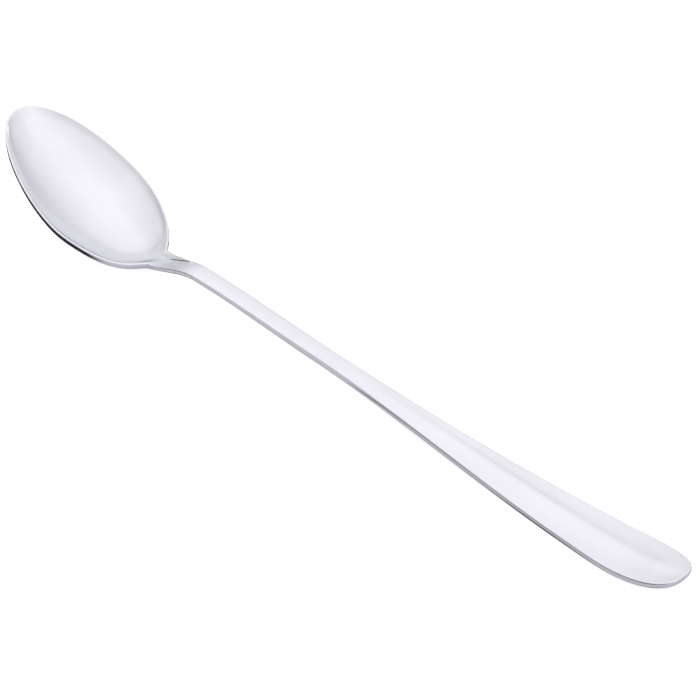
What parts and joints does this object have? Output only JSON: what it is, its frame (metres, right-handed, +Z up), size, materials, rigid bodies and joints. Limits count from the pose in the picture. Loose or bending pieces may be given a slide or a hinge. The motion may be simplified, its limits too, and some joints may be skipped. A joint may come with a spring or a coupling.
{
  "type": "iced tea spoon",
  "caption": "Long-handled stirring spoon of polished stainless steel with an oval bowl, a slim neck and a flared, ridged handle.",
  "frame": {"origin": "on the table, under the middle of the spoon's box", "axes": "+X from the bowl to the handle end, +Y across the bowl, +Z up, out of the bowl"},
  "size_m": [0.2, 0.0278, 0.0226],
  "materials": {
    "steel": "polished to a soft mirror"
  },
  "bodies": {
    "root": {"spoon": "steel"}
  },
  "joints": []
}
